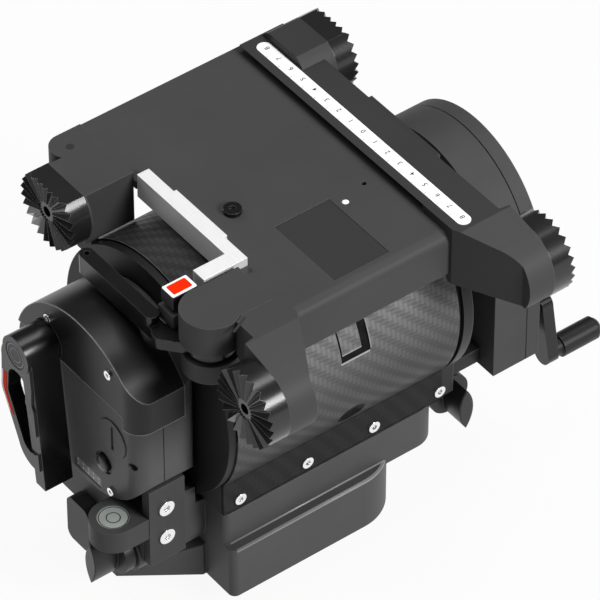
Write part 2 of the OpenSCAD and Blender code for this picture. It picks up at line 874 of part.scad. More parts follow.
module lock_block() {
  color(graphite) at_tilt() difference() {
    union() {
      translate([lever_x, lever_y, block_low]) cylinder(h = rail_top - block_low, r = lock_r);
      block(lever_x, channel_left, arm_crest, notch_rear - gap, block_low, rail_top);
      block(-92, -78, -42, -29.5, block_low, rail_top - 11);
    }
    translate([lever_x, lever_y, 0]) rod_z(block_low - 1, block_low + 10, lever_pin_r + fit);
    translate([-85, -34.5, 0]) rod_z(block_low - 1, rail_top - 10, 2.5 + fit);
  }
}

module deck_inlay() {
  color("#2e2e31") at_tilt() block(inlay_left + fit, inlay_right - fit,
    inlay_rear + fit, inlay_front - fit, floor_z - 1, floor_z - 0.3);
}

module deck_screws() {
  color(black) at_tilt() translate([deck_screw[0], deck_screw[1], floor_z + 2.4])
    cap_screw(4.8, 2.4, 1.8, 2.5, 4);
}

module rule_strip() {
  reach = rule_len / 2 - rule_w / 2;
  color("white") at_tilt() translate([0, 0, rail_top]) linear_extrude(0.3)
    link([rule_x, -reach], [rule_x, reach], rule_w / 2);
}

// Toothed rosette, teeth on the +Z face, which lies at zero
module rosette(top) {
  tooth_slope = atan(PI / rosette_teeth);
  difference() {
    intersection() {
      rod_z(-rosette_t, 0, rosette_r);
      translate([-60, -60, -rosette_t]) cube([120, 60 + top, rosette_t]);
    }
    rod_z(-rosette_t - 1, 1, rosette_hole);
    rod_z(-1, 1, 6);
    for (i = [0 : rosette_teeth - 1]) rotate(i * 360 / rosette_teeth) rotate([0, tooth_slope, 0])
      rotate([90, 0, 90]) linear_extrude(rosette_r + 6) polygon([[0, 0], [6, 6], [-6, 6]]);
  }
}

module rosette_on(side, y, z, top) {
  color(black) at_tilt() translate([side * (rosette_in + rosette_t), y, z])
    rotate([90, 0, side * 90]) rosette(top);
}

module rosette_front_left() { rosette_on(-1, front_y, front_z, rail_top - front_z); }
module rosette_front_right() { rosette_on(1, right_front_y, front_z + 2, rail_top + 3 - front_z); }
module rosette_rear_left() { rosette_on(-1, rear_y, rear_z, 60); }
module rosette_rear_right() { rosette_on(1, rear_y, rear_z, 60); }

module clamp_bar() {
  color(silver) at_tilt() {
    block(bar_left, bar_right, bar_rear, bar_front, drum_r + 1.2, rail_top);
    block(-71, bar_left + 1, bar_rear, -30, rail_top - 12, rail_top);
    block(bar_right - 1, bar_right + 1.7, -20, 22, floor_z + gap, rail_top);
    for (y = [-25, 30]) translate([0, y, guide_z]) rod_x(bar_right - 1, bar_right + 14, guide_r);
  }
}

// Plan of the lever's finger rail
module lever_rail(y0) {
  difference() {
    link([rail_x, y0], [rail_x, rail_front], 4);
    translate([rail_x, rail_front]) circle(1.5);
  }
}

module lock_lever() {
  color(black) at_tilt() {
    translate([0, 0, block_low - lever_t]) linear_extrude(lever_t - gap) difference() {
      union() {
        translate([lever_x, lever_y]) circle(13);
        link([lever_x - 6, lever_y + 4], [rail_x, -40], 6);
        lever_rail(-36);
      }
      translate([lever_x, lever_y]) circle(lever_pin_r + fit);
    }
    translate([0, 0, block_low - gap]) linear_extrude(lever_t - 2 + gap) lever_rail(-30);
  }
}

module lever_pin() {
  color(silver) at_tilt() translate([lever_x, lever_y, 0]) rod_z(block_low - 12, block_low + 9, lever_pin_r);
}

module lever_base() {
  color(graphite) at_tilt() difference() {
    translate([lever_x, lever_y, 0]) rod_z(block_low - lever_t - 12, block_low - lever_t - gap, 15);
    rod_x(left_face, drum_right, drum_r + 1.2);
    translate([lever_x, lever_y, 0]) rod_z(block_low - 12, block_low, lever_pin_r + fit);
  }
}

module safety_button() {
  color("#e03010") at_tilt() {
    block(-90.8, -75.8, -40.4, -30.6, rail_top - 8, rail_top);
    translate([-85, -34.5, 0]) rod_z(rail_top - 13, rail_top - 7, 2.5);
  }
}

base_flange();
pan_spindle();
pan_bearings();
pan_drag_rotor();
spindle_nut();
pan_housing();
pan_bottom_cover();
drum_frame();
drum_cover();
cover_screws();
tilt_bearings();
right_cheek();
left_housing();
left_end_cap();
left_hood();
hood_screws();
cheek_post();
cheek_screws();
level_bracket();
level_vial();
scale_plate();
coin_cell();
right_housing();
right_end_cap();
spring_discs();
tilt_brake_lever();
lever_cap();
brake_pad();
pan_brake_lever();
pan_drag_knob();
tilt_drag_knob();
battery_cap();
light_button();
crank_arm();
crank_pin();
crank_grip();
counterbalance_nut();
tilt_shaft();
left_tilt_disc();
right_tilt_hub();
brake_disc();
tilt_drag_rotor();
platform();
lock_block();
deck_inlay();
deck_screws();
rule_strip();
rosette_front_left();
rosette_front_right();
rosette_rear_left();
rosette_rear_right();
clamp_bar();
lock_lever();
lever_pin();
lever_base();
safety_button();
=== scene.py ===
import json
import math

import bmesh
import bpy
from mathutils import Matrix, Vector


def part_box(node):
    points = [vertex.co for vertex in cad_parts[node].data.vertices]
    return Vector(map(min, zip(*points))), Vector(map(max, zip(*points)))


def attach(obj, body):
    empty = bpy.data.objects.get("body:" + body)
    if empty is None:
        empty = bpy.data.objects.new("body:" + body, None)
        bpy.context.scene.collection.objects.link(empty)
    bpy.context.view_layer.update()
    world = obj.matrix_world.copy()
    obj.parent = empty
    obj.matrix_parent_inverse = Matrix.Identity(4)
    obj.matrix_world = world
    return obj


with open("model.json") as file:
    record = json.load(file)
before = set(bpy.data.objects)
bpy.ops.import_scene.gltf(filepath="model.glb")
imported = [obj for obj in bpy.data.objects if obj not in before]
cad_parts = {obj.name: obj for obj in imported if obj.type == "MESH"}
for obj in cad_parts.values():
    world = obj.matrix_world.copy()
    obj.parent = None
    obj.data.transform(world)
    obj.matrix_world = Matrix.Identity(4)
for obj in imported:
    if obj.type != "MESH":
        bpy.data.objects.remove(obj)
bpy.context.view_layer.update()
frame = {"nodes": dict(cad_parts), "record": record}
nodes = frame["nodes"]
slotOf = {row["node"]: row["material_slot"] for row in frame["record"]["subparts"]}
mm = 0.001
cadStep = 0.05  # boxes of the CAD nodes are rounded to this, in millimetres


def faceOf(name, out):  # middle of the side of a CAD node's box that lies towards out, in millimetres
    low, high = [[round(value / mm / cadStep) * cadStep for value in corner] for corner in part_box(name)]
    return Vector([(a + b + (b - a) * way) / 2 for a, b, way in zip(low, high, out)])


axisHeight = faceOf("tilt_shaft", (0, 0, 0)).z
print("frame loaded,", len(nodes), "nodes")


class Wire:  # one socket of a shader tree, with sums written as Python
    def __init__(self, tree, socket=None):
        self.tree, self.socket = tree, socket

    def node(self, kind, settings=(), inputs=(), out=0):
        made = self.tree.nodes.new("ShaderNode" + kind)
        for key, value in dict(settings).items():
            setattr(made, key, value)
        for key, value in dict(inputs).items():
            if isinstance(value, Wire):
                self.tree.links.new(value.socket, made.inputs[key])
            else:
                made.inputs[key].default_value = value
        return Wire(self.tree, made.outputs[out])

    def sum(self, operation, *values):
        return self.node("Math", {"operation": operation}, enumerate(values))

    def __add__(self, other):
        return self.sum("ADD", self, other)

    def __radd__(self, other):
        return self.sum("ADD", other, self)

    def __sub__(self, other):
        return self.sum("SUBTRACT", self, other)

    def __rsub__(self, other):
        return self.sum("SUBTRACT", other, self)

    def __mul__(self, other):
        return self.sum("MULTIPLY", self, other)

    def __rmul__(self, other):
        return self.sum("MULTIPLY", other, self)

    def __truediv__(self, other):
        return self.sum("DIVIDE", self, other)

    def __gt__(self, other):
        return self.sum("GREATER_THAN", self, other)

    def __lt__(self, other):
        return self.sum("LESS_THAN", self, other)

    def __mod__(self, other):
        return self.sum("FLOORED_MODULO", self, other)

    def floor(self):
        return self.sum("FLOOR", self)

    def abs(self):
        return self.sum("ABSOLUTE", self)

    def sine(self):
        return self.sum("SINE", self)

    def clamp(self):
        return self.node("Clamp", {}, {0: self})

    def to(self, shader, name):
        self.tree.links.new(self.socket, shader.inputs[name])


def newFinish(name, colour, roughness, metallic=0.0, **constants):
    material = bpy.data.materials.new(name)
    material.use_nodes = True
    shader = material.node_tree.nodes["Principled BSDF"]
    shader.inputs["Base Color"].default_value = (*colour, 1)
    shader.inputs["Roughness"].default_value = roughness
    shader.inputs["Metallic"].default_value = metallic
    for key, value in constants.items():
        shader.inputs[key.replace("_", " ")].default_value = value
    return material, shader, Wire(material.node_tree)


def place(wire):  # position in the part's own frame, in millimetres
    spot = wire.node("TexCoord", out="Object")
    spot = wire.node("VectorMath", {"operation": "SCALE"}, {0: spot, "Scale": 1 / mm})
    return spot, [wire.node("SeparateXYZ", {}, {0: spot}, out=i) for i in range(3)]


def noise(wire, spot, scale, detail=2.0, stretch=None):
    if stretch:
        spot = wire.node("VectorMath", {"operation": "MULTIPLY"}, {0: spot, 1: stretch})
    return wire.node("TexNoise", {}, {"Vector": spot, "Scale": scale, "Detail": detail}, out=0)


def mixColour(wire, factor, first, second):
    return wire.node("Mix", {"data_type": "RGBA"}, {0: factor, 6: first, 7: second}, out=2)


edgeMask = {"samples": 6, "gain": 9}


def softEdges(wire, radius):  # rounded-edge normal and a mask of the edges
    bent = wire.node("Bevel", {"samples": edgeMask["samples"]}, {"Radius": radius * mm})
    flat = wire.node("NewGeometry", out="Normal")
    along = wire.node("VectorMath", {"operation": "DOT_PRODUCT"}, {0: bent, 1: flat}, out="Value")
    return bent, ((1 - along) * edgeMask["gain"]).clamp()


def shade(tone, lift=1.0, warm=1.0):
    return (tone * lift * warm, tone * lift, tone * lift, 1)


paintMix = {"low": 0.72, "high": 1.3, "rim": 0.55, "rimCloud": 0.6, "bandLow": 0.8, "bandHigh": 1.2,
            "flatTop": 0.99, "innerSide": -0.3, "seamTone": 0.004, "grainRough": 0.06, "edgeRough": 0.05,
            "depth": 0.05}  # shared by every coated finish


def coated(name, look):  # paint, anodising or moulded plastic on a hard body
    tone = look["tone"]
    material, shader, wire = newFinish(name, (tone,) * 3, look["rough"], look.get("metal", 0.0))
    shader.inputs["Specular IOR Level"].default_value = look.get("gloss", 0.5)
    spot, (x, _, _) = place(wire)
    bent, edge = softEdges(wire, look["edgeRadius"])
    grain = noise(wire, spot, look["grain"], 2.0)
    cloud = noise(wire, spot, look["cloud"], 3.0)
    level = ((grain - 0.5) * look["speckle"] + (cloud - 0.5) * look["patch"] + 0.5).clamp()
    colour = mixColour(wire, level, shade(tone, paintMix["low"]),
                       shade(tone, paintMix["high"], look.get("warm", 1.0)))
    # edges painted lighter: partly wear, partly a painted highlight along the rounded edges
    rim = edge * (paintMix["rim"] + cloud * paintMix["rimCloud"])
    colour = mixColour(wire, rim.clamp() * look["wearAndSheen"], colour, shade(look["edgeTone"]))
    for at, lift in look.get("bands", ()):  # painted shade: the flat top and inner side are darker past a place on the tilt axis
        facing = wire.node("TexCoord", out="Normal")
        across, _, upward = [wire.node("SeparateXYZ", {}, {0: facing}, out=i) for i in range(3)]
        dark = (x > at) * ((upward > paintMix["flatTop"]) + (across < paintMix["innerSide"])).clamp()
        darker = mixColour(wire, level, shade(tone, lift * paintMix["bandLow"]),
                           shade(tone, lift * paintMix["bandHigh"]))
        colour = mixColour(wire, dark, colour, darker)
    for at in look.get("seams", ()):  # dark joint lines across the tilt axis
        colour = mixColour(wire, (x - at).abs() < look["seamHalf"], colour, shade(paintMix["seamTone"]))
    colour.to(shader, "Base Color")
    rough = look["rough"] + (cloud - 0.5) * look["roughSpread"]
    (rough + (grain - 0.5) * paintMix["grainRough"] - edge * paintMix["edgeRough"]).to(shader, "Roughness")
    wire.node("Bump", {}, {"Strength": look["bump"], "Distance": paintMix["depth"] * mm, "Height": grain,
                           "Normal": bent}).to(shader, "Normal")
    return material


metalMix = {"low": 0.86, "high": 1.08, "edge": 0.4, "edgeTone": 0.95, "depth": 0.02}  # shared by bare metals


def polished(name, look):  # bare bright metal
    material, shader, wire = newFinish(name, (look["tone"],) * 3, look["rough"], look.get("metal", 1.0))
    spot, _ = place(wire)
    bent, edge = softEdges(wire, look["edgeRadius"])
    streak = noise(wire, spot, look["grain"], 3.0, look["stretch"])
    dark, light = [shade(look["tone"], metalMix[level]) for level in ("low", "high")]
    colour = mixColour(wire, streak, dark, light)
    # edges lighter: a painted highlight along the rounded edges
    mixColour(wire, edge * metalMix["edge"], colour, shade(metalMix["edgeTone"])).to(shader, "Base Color")
    (look["rough"] + (streak - 0.5) * look["roughSpread"]).to(shader, "Roughness")
    wire.node("Bump", {}, {"Strength": look["bump"], "Distance": metalMix["depth"] * mm, "Height": streak,
                           "Normal": bent}).to(shader, "Normal")
    return material


finishes = {}

castLook = {"tone": 0.058, "warm": 1.03, "rough": 0.48, "gloss": 0.2, "grain": 3.2, "cloud": 0.035,
            "speckle": 0.5, "patch": 0.7, "edgeRadius": 0.8, "edgeTone": 0.13, "wearAndSheen": 0.5,
            "roughSpread": 0.12, "bump": 0.22}
finishes["cast_paint"] = coated("castPaint", castLook)

rightLook = dict(castLook, tone=0.052, gloss=0.12, rough=0.55, seamHalf=0.35,
                 seams=(faceOf("right_end_cap", (-1, 0, 0)).x,))
finishes["right_end"] = coated("castPaintRight", rightLook)

leftLook = dict(castLook, tone=0.066, warm=1.0, rough=0.4, edgeTone=0.12, seamHalf=0.3,
                seams=(faceOf("left_end_cap", (1, 0, 0)).x,))
finishes["left_end"] = coated("endPaint", leftLook)

# a darker copy of the casting paint: painted shade on the low, rear-facing post
postShadedLook = dict(castLook, tone=0.046, gloss=0.12)
finishes["post_shaded_paint"] = coated("postShadedPaint", postShadedLook)

cheekLook = dict(castLook, tone=0.015, warm=1.0, rough=0.42)
finishes["cheek_paint"] = coated("cheekPaint", cheekLook)

discLook = dict(castLook, tone=0.008, warm=1.0, rough=0.5, gloss=0.2, edgeTone=0.03)
finishes["disc_black"] = coated("discBlack", discLook)

# far lighter than the casting: a painted highlight on the rounded lips
beadHighlightLook = dict(castLook, tone=0.22, rough=0.3, gloss=0.6, edgeRadius=0.2, edgeTone=0.3)
finishes["bead_highlight_paint"] = coated("beadHighlightPaint", beadHighlightLook)

inlayLook = {"tone": 0.031, "rough": 0.52, "gloss": 0.1, "grain": 6.0, "cloud": 0.03, "speckle": 0.3,
             "patch": 0.3, "edgeRadius": 0.4, "edgeTone": 0.02, "wearAndSheen": 0.6, "roughSpread": 0.08, "bump": 0.1}
finishes["inlay_film"] = coated("inlayFilm", inlayLook)

deckLook = {"tone": 0.046, "warm": 1.0, "rough": 0.5, "gloss": 0.14, "bands": ((47.6, 0.7),), "grain": 4.5,
            "cloud": 0.02, "speckle": 0.8, "patch": 0.5, "edgeRadius": 0.6, "edgeTone": 0.11, "wearAndSheen": 0.55,
            "roughSpread": 0.1, "bump": 0.3}
finishes["dark_anodised"] = coated("deckAnodising", deckLook)

# the hood's bright edge tone at full strength is a painted highlight along its rounded edges
hoodLook = {"tone": 0.009, "rough": 0.34, "grain": 2.0, "cloud": 0.03, "speckle": 0.3, "patch": 0.4,
            "edgeRadius": 1.1, "edgeTone": 0.4, "wearAndSheen": 1.0, "roughSpread": 0.06, "bump": 0.08, "gloss": 0.24}
finishes["hood_paint"] = coated("hoodPaint", hoodLook)

blackLook = {"tone": 0.005, "rough": 0.26, "grain": 3.0, "cloud": 0.05, "speckle": 0.3, "patch": 0.4,
             "edgeRadius": 0.5, "edgeTone": 0.1, "wearAndSheen": 0.5, "roughSpread": 0.08, "bump": 0.06, "gloss": 0.4}
finishes["black_metal"] = coated("glossBlack", blackLook)

toothLook = dict(blackLook, tone=0.02, rough=0.2, gloss=0.7, metal=0.35, edgeRadius=0.25, edgeTone=0.3,
                 bump=0.03)
finishes["tooth_metal"] = coated("toothMetal", toothLook)

mouldedLook = {"tone": 0.007, "gloss": 0.35, "rough": 0.42, "grain": 2.6, "cloud": 0.06, "speckle": 0.4,
               "patch": 0.4, "edgeRadius": 0.7, "edgeTone": 0.05, "wearAndSheen": 0.5, "roughSpread": 0.08,
               "bump": 0.3}
finishes["black_plastic"] = coated("mouldedBlack", mouldedLook)

liningLook = {"tone": 0.14, "warm": 1.25, "rough": 0.8, "grain": 1.2, "cloud": 0.2, "speckle": 1.0,
              "patch": 0.4, "edgeRadius": 0.4, "edgeTone": 0.2, "wearAndSheen": 0.3, "roughSpread": 0.1, "bump": 0.6}
finishes["friction_lining"] = coated("brakeLining", liningLook)

plateLook = {"tone": 0.16, "rough": 0.4, "metal": 0.4, "grain": 3.0, "cloud": 0.08, "speckle": 0.5,
             "patch": 0.5, "edgeRadius": 0.3, "edgeTone": 0.4, "wearAndSheen": 0.5, "roughSpread": 0.1, "bump": 0.2}
finishes["grey_scale"] = coated("scaleGrey", plateLook)

ruleLook = {"tone": 0.82, "rough": 0.5, "grain": 2.0, "cloud": 0.05, "speckle": 0.15, "patch": 0.2,
            "edgeRadius": 0.2, "edgeTone": 0.9, "wearAndSheen": 0.3, "roughSpread": 0.08, "bump": 0.1}
finishes["white_rule"] = coated("ruleWhite", ruleLook)

steelLook = {"tone": 0.9, "rough": 0.12, "grain": 1.5, "stretch": (1, 1, 1), "edgeRadius": 0.3,
             "roughSpread": 0.1, "bump": 0.15}
finishes["polished_steel"] = polished("screwSteel", steelLook)

barLook = {"tone": 0.86, "metal": 0.35, "rough": 0.4, "grain": 5.0, "stretch": (1, 0.02, 1),
           "edgeRadius": 0.4, "roughSpread": 0.12, "bump": 0.06}
finishes["brushed_bar"] = polished("brushedBar", barLook)

weaveLook = {
    "base": (0.05, 0.05, 0.052), "rough": 0.46, "gloss": 0.16, "coat": 0.08, "coatRough": 0.25,
    "tow": 2.6, "radius": faceOf("drum_cover", (0, 1, 0)).y,  # width of a bundle of fibres, and the drum
    "fibreScale": 0.9, "fibreStretch": 6, "cloudScale": 0.03,
    # the two high tones are the painted light on the drum's upper rear
    "dark": 0.009, "light": 0.046, "paintedLitDark": 0.075, "paintedLitLight": 0.26, "middle": 0.35,
    "towTone": 0.34, "swellTone": 0.36, "fibreTone": 0.5, "cloudTone": 0.3, "lowShow": 0.2, "highShow": 0.5,
    "underRough": 0.12, "fibreRough": 0.1, "sunkRough": 0.2,
    "bump": 0.28, "depth": 0.25, "swellHeight": 0.8, "towHeight": 0.25, "fibreHeight": 0.3,
    "stripTop": -41.0, "stripFoot": -60.9, "creaseHalf": 0.5,  # screwed strips, from the tilt axis
    "stripTone": 0.005, "stripMix": 0.5, "stripCalm": 0.8,
    "shadeTone": 0.002, "sunkMargin": 0.1, "sunkFade": 0.15, "recessTop": -24, "recessFade": 9,
    "rearStart": -30, "rearFade": 25,
    "edgeRadius": 0.6, "edgeFrom": 5, "edgeShare": 0.5, "rimTone": 0.34,
    "slope": (0.332, 0.943),  # direction up the channel, over y and z
    "rims": (((-9.8, -8.7), (-8.4, 9.6), 1.0), ((-5.1, -4.2), (-7, 5), 0.7), ((-8, 14), (10.1, 11), 0.5)),
}


def channelRims(look, level, x):  # painted highlight lines at the channel's foot, tongue and side
    first, *others = [(level > low) * (level < high) * (x > left) * (x < right) * share
                      for (low, high), (left, right), share in look["rims"]]
    return sum(others, first)


def carbonWeave(look):  # two by two twill wrapped round the drum
    material, shader, wire = newFinish("carbonWeave", look["base"], look["rough"],
                                       Coat_Roughness=look["coatRough"], Specular_IOR_Level=look["gloss"])
    spot, (x, y, z) = place(wire)
    rise = z - axisHeight
    turn = wire.sum("ARCTAN2", y, rise)
    away = wire.sum("SQRT", y * y + rise * rise)
    recess = ((look["recessTop"] - rise) / look["recessFade"]).clamp()
    deep = ((rise > 0) + recess).clamp()  # the channel, and the low end of the thumb recess
    sunk = ((look["radius"] - look["sunkMargin"] - away) / look["sunkFade"]).clamp() * deep
    strip = rise < look["stripTop"]
    plain = 1 - strip * look["stripCalm"]
    crease = (rise - look["stripTop"]).abs() < look["creaseHalf"]
    # painted shade: the channel and recess floors are darkened, with a dark line at the crease and a dark
    # band along the strip's foot
    paintedShade = (sunk + (crease + (rise < look["stripFoot"])).clamp()).clamp()
    u, v = x / look["tow"], turn * (look["radius"] / look["tow"])
    onTop = (u.floor() + v.floor()) % 4 < 1.5
    under = 1 - onTop
    swell = (u * math.pi).sine().abs() * onTop + (v * math.pi).sine().abs() * under
    long = look["fibreStretch"]
    fibre = (noise(wire, spot, look["fibreScale"], 2.0, (long, 1, 1)) * onTop
             + noise(wire, spot, look["fibreScale"], 2.0, (1, long, long)) * under)
    cloud = noise(wire, spot, look["cloudScale"], 2.0)
    higher = ((rise - look["stripTop"]) / look["radius"]).clamp()  # the weave shows most near the deck, where the painted light is strongest too
    pattern = onTop * look["towTone"] + swell * look["swellTone"] + (fibre - 0.5) * look["fibreTone"]
    shown = (pattern - look["middle"]) * (look["lowShow"] + higher * look["highShow"]) * plain
    tone = (look["middle"] + shown + (cloud - 0.5) * look["cloudTone"]).clamp()
    colour = mixColour(wire, tone, shade(look["dark"]), shade(look["light"]))
    colour = mixColour(wire, strip * look["stripMix"], colour, shade(look["stripTone"]))
    paintedLight = mixColour(wire, tone, shade(look["paintedLitDark"]), shade(look["paintedLitLight"]))
    rear = ((look["rearStart"] - y) / look["rearFade"]).clamp()  # painted light on the upper rear of the drum; the top and the front stay dark
    colour = mixColour(wire, higher * higher * rear, colour, paintedLight)
    bent, edge = softEdges(wire, look["edgeRadius"])
    level = y * look["slope"][0] + rise * look["slope"][1]
    # painted highlight along the channel's rims, and lighter upper edges that are partly wear and partly
    # painted highlight
    highlightAndWear = channelRims(look, level, x) * (y < 0) + edge * (rise > look["edgeFrom"]) * look["edgeShare"]
    colour = mixColour(wire, highlightAndWear.clamp(), colour, shade(look["rimTone"]))
    mixColour(wire, paintedShade, colour, shade(look["shadeTone"])).to(shader, "Base Color")
    rough = look["rough"] + under * look["underRough"] + (fibre - 0.5) * look["fibreRough"]
    (rough + (sunk + strip) * look["sunkRough"]).to(shader, "Roughness")
    ((1 - sunk) * plain * look["coat"]).to(shader, "Coat Weight")
    height = swell * look["swellHeight"] + onTop * look["towHeight"] + (fibre - 0.5) * look["fibreHeight"]
    wire.node("Bump", {}, {"Strength": look["bump"], "Distance": look["depth"] * mm, "Height": height * plain,
                           "Normal": bent}).to(shader, "Normal")
    return material


finishes["carbon"] = carbonWeave(weaveLook)

vialLook = {"fluid": (0.30, 0.32, 0.31), "deep": (0.22, 0.24, 0.23), "pale": (0.38, 0.41, 0.39),
            "rough": 0.06, "roughSpread": 0.05, "coat": 0.8, "cloud": 0.12}


def vialGlass(look):  # pale fluid under a clear top
    material, shader, wire = newFinish("vialGlass", look["fluid"], look["rough"], Coat_Weight=look["coat"])
    spot, _ = place(wire)
    cloud = noise(wire, spot, look["cloud"], 2.0)
    mixColour(wire, cloud, (*look["deep"], 1), (*look["pale"], 1)).to(shader, "Base Color")
    (look["rough"] + cloud * look["roughSpread"]).to(shader, "Roughness")
    return material


finishes["vial_glass"] = vialGlass(vialLook)

redLook = {"tone": (0.66, 0.012, 0.0), "light": (0.76, 0.025, 0.0), "rough": 0.5, "roughSpread": 0.1,
           "gloss": 0.05, "cloud": 0.15}


def redInsert(look):  # bright moulded plastic
    material, shader, wire = newFinish("redInsert", look["tone"], look["rough"],
                                       Specular_IOR_Level=look["gloss"])
    spot, _ = place(wire)
    cloud = noise(wire, spot, look["cloud"], 2.0)
    mixColour(wire, cloud, (*look["tone"], 1), (*look["light"], 1)).to(shader, "Base Color")
    (look["rough"] + (cloud - 0.5) * look["roughSpread"]).to(shader, "Roughness")
    return material


finishes["red_plastic"] = redInsert(redLook)

# print for the marks, and dark patches that stand for the shade in openings
printAndShadeLook = {"tone": 0.01, "rough": 0.5, "grain": 4.0, "cloud": 0.2, "speckle": 0.6, "patch": 0.3,
             "edgeRadius": 0.1, "edgeTone": 0.02, "wearAndSheen": 0.2, "roughSpread": 0.1, "bump": 0.1}
finishes["ink_and_shade"] = coated("printInkAndShade", printAndShadeLook)
print("finishes made,", len(finishes))

otherFinish = {"safety_button": "black_plastic", "deck_inlay": "inlay_film", "battery_cap": "left_end",
               "left_housing": "left_end", "left_end_cap": "left_end", "right_housing": "right_end",
               "right_end_cap": "right_end", "cheek_post": "post_shaded_paint", "right_cheek": "cheek_paint",
               "left_tilt_disc": "disc_black", "crank_pin": "black_metal",
               "counterbalance_nut": "black_metal"}
for name in slotOf:
    if name.startswith("rosette_"):
        otherFinish[name] = "tooth_metal"
for name, piece in nodes.items():
    piece.data.materials.clear()
    piece.data.materials.append(finishes[otherFinish.get(name, slotOf[name])])
print("finishes on the CAD nodes")

viewLook = {"azimuth": -37.3, "elevation": 43.35, "target": (0.01777, 0.0, 0.1226), "distance": 2.959,
            "lens": 348.0, "sensor": 36.0, "reach": 100.0}
turn, rise = math.radians(viewLook["azimuth"]), math.radians(viewLook["elevation"])
back = Vector((math.sin(turn) * math.cos(rise), -math.cos(turn) * math.cos(rise), math.sin(rise)))
lens = bpy.data.cameras.new("viewCamera")
lens.lens, lens.sensor_width, lens.clip_end = viewLook["lens"], viewLook["sensor"], viewLook["reach"]
camera = bpy.data.objects.new("viewCamera", lens)
camera.location = Vector(viewLook["target"]) + back * viewLook["distance"]
camera.rotation_euler = back.to_track_quat("Z", "Y").to_euler()
bpy.context.scene.collection.objects.link(camera)
bpy.context.scene.camera = camera

lamps = {
    "topSoftbox": {"at": (0.2, 0.1, 2.4), "size": 1.5, "power": 36.0},
    "rearRight": {"at": (0.6, -2.1, 1.5), "size": 0.8, "power": 66.0},
    "leftFill": {"at": (-2.0, -0.6, 0.7), "size": 0.6, "power": 2.2},
    "frontRim": {"at": (-0.5, 2.0, 1.4), "size": 0.8, "power": 16.0},
}
lampTarget = Vector((0, 0, 0.12))
for name, lamp in lamps.items():
    light = bpy.data.lights.new(name, "AREA")
    light.shape, light.size, light.energy = "SQUARE", lamp["size"], lamp["power"]
    holder = bpy.data.objects.new(name, light)
    holder.location = lamp["at"]
    holder.rotation_euler = (Vector(lamp["at"]) - lampTarget).to_track_quat("Z", "Y").to_euler()
    bpy.context.scene.collection.objects.link(holder)

worldColour = (0.085, 0.085, 0.087, 1)
world = bpy.data.worlds.new("studio")
bpy.context.scene.world = world
world.use_nodes = True
world.node_tree.nodes["Background"].inputs["Color"].default_value = worldColour
bpy.context.scene.view_settings.view_transform = "Standard"

floorLook = {"half": 30.0, "cells": 8, "tone": 0.6, "rough": 0.7, "glow": 0.93}


def makeFloor(look):  # lit below the part, and plain white to the camera and in reflections
    mesh = bmesh.new()
    bmesh.ops.create_grid(mesh, x_segments=look["cells"], y_segments=look["cells"], size=look["half"])
    data = bpy.data.meshes.new("studioFloor")
    mesh.to_mesh(data)
    mesh.free()
    floor = bpy.data.objects.new("studioFloor", data)
    bpy.context.scene.collection.objects.link(floor)
    material, _, wire = newFinish("paleFloor", (look["tone"],) * 3, look["rough"])
    lit = wire.node("BsdfDiffuse", {}, {"Color": shade(look["tone"])})
    glow = wire.node("Emission", {}, {"Color": (1, 1, 1, 1), "Strength": 1.0})
    seen, mirrored, through = [wire.node("LightPath", out="Is " + ray + " Ray")
                               for ray in ("Camera", "Glossy", "Transmission")]
    white = (seen + mirrored + through).clamp() * look["glow"]
    mixed = wire.node("MixShader", {}, {0: white, 1: lit, 2: glow})
    output = material.node_tree.nodes["Material Output"]
    material.node_tree.links.new(mixed.socket, output.inputs["Surface"])
    data.materials.append(material)


makeFloor(floorLook)
print("camera, lamps and floor ready")


def addPiece(name, mesh, finish, body, smooth=False):  # mesh drawn in millimetres
    bmesh.ops.transform(mesh, matrix=Matrix.Diagonal((mm, mm, mm, 1)), verts=mesh.verts)
    data = bpy.data.meshes.new(name)
    bmesh.ops.recalc_face_normals(mesh, faces=mesh.faces)
    mesh.to_mesh(data)
    mesh.free()
    for face in data.polygons:
        face.use_smooth = smooth
    data.materials.append(finishes[finish])
    piece = bpy.data.objects.new(name, data)
    bpy.context.scene.collection.objects.link(piece)
    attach(piece, body)


inkLook = {"proud": 0.06, "fontScale": 1.35}  # fontScale: font size over the height of a figure


def addText(mesh, words, height, spot, right, up, bold=0.0):
    curve = bpy.data.curves.new("mark", "FONT")
    curve.body, curve.size = words, height * inkLook["fontScale"]
    curve.align_x = curve.align_y = "CENTER"
    curve.extrude, curve.offset = inkLook["proud"] / 2, bold
    holder = bpy.data.objects.new("mark", curve)
    bpy.context.scene.collection.objects.link(holder)
    bpy.context.view_layer.update()
    data = bpy.data.meshes.new_from_object(holder.evaluated_get(bpy.context.evaluated_depsgraph_get()))
    bpy.data.objects.remove(holder)
    bpy.data.curves.remove(curve)
    out = Vector(right).cross(Vector(up))
    turnTo = Matrix((right, up, out)).transposed().to_4x4()
    data.transform(Matrix.Translation(Vector(spot)) @ turnTo)
    mesh.from_mesh(data)
    bpy.data.meshes.remove(data)


def slab(mesh, middle, size):
    made = bmesh.ops.create_cube(mesh, size=1.0)["verts"]
    bmesh.ops.transform(mesh, verts=made, matrix=Matrix.Translation(middle) @ Matrix.Diagonal((*size, 1)))


def prism(mesh, outline, centre, right, up, thick):  # outline raised along right x up
    right, up, middle = Vector(right), Vector(up), Vector(centre)
    out = right.cross(up)
    low = [mesh.verts.new(middle + right * a + up * b) for a, b in outline]
    high = [mesh.verts.new(vert.co + out * thick) for vert in low]
    mesh.faces.new(high)
    mesh.faces.new(low[::-1])
    for i in range(len(low)):
        j = (i + 1) % len(low)
        mesh.faces.new((low[i], low[j], high[j], high[i]))


